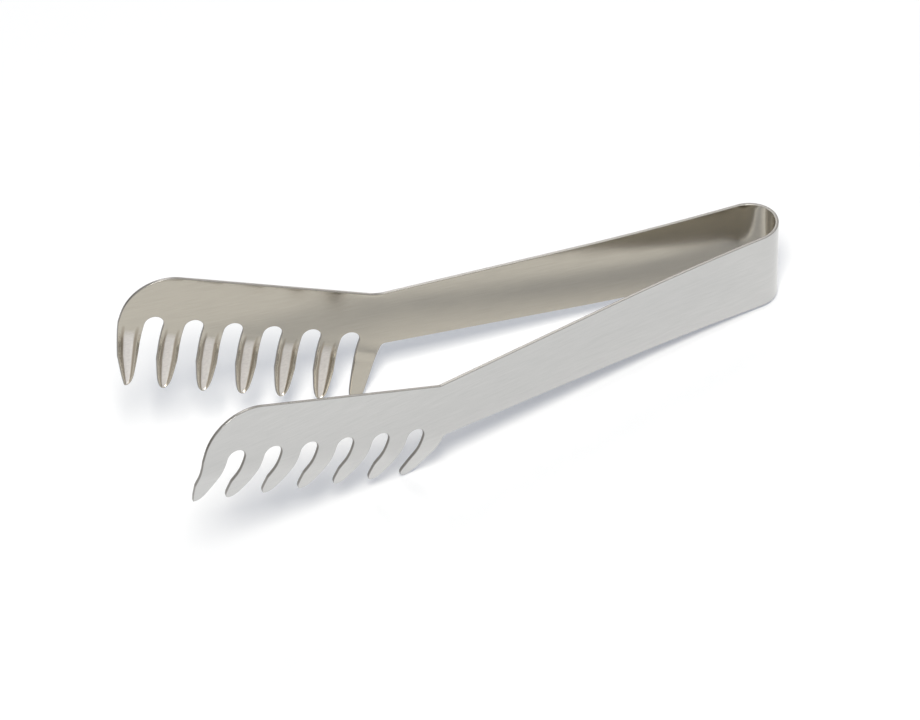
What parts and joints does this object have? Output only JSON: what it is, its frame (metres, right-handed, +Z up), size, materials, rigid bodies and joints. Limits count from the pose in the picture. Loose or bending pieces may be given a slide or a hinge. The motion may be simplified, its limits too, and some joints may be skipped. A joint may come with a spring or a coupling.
{
  "type": "pasta tongs",
  "caption": "Spring tongs bent from one strip of steel sheet: a round bow, two splayed arms and two toothed combs that grip long pasta.",
  "frame": {"origin": "centre of the footprint, on the surface that the bow's lower edge and the last tooth of each comb stand on", "axes": "+Z up, +X from the combs towards the bow, +Y from the front side towards the rear side"},
  "size_m": [0.1936, 0.0662, 0.0593],
  "materials": {
    "satin_steel": "satin"
  },
  "bodies": {
    "bow": {"bow": "satin_steel"},
    "front_side": {"front_arm": "satin_steel", "front_comb": "satin_steel"},
    "rear_side": {"rear_arm": "satin_steel", "rear_comb": "satin_steel"}
  },
  "joints": [
    {"name": "front_arm_flex", "type": "hinge", "parent": "bow", "child": "front_side", "pos_m": [0.08754, -0.00828, 0.01371], "axis": [-0.0868, 0, -0.9962], "range_deg": [0, 7.9], "stiffness_Nm_per_rad": 6.4},
    {"name": "rear_arm_flex", "type": "hinge", "parent": "bow", "child": "rear_side", "pos_m": [0.08754, 0.00828, 0.01371], "axis": [0.0868, 0, 0.9962], "range_deg": [0, 7.9], "stiffness_Nm_per_rad": 6.4}
  ],
  "couplings": [
    {"joint": "rear_arm_flex", "follows": "front_arm_flex", "ratio": 1}
  ]
}
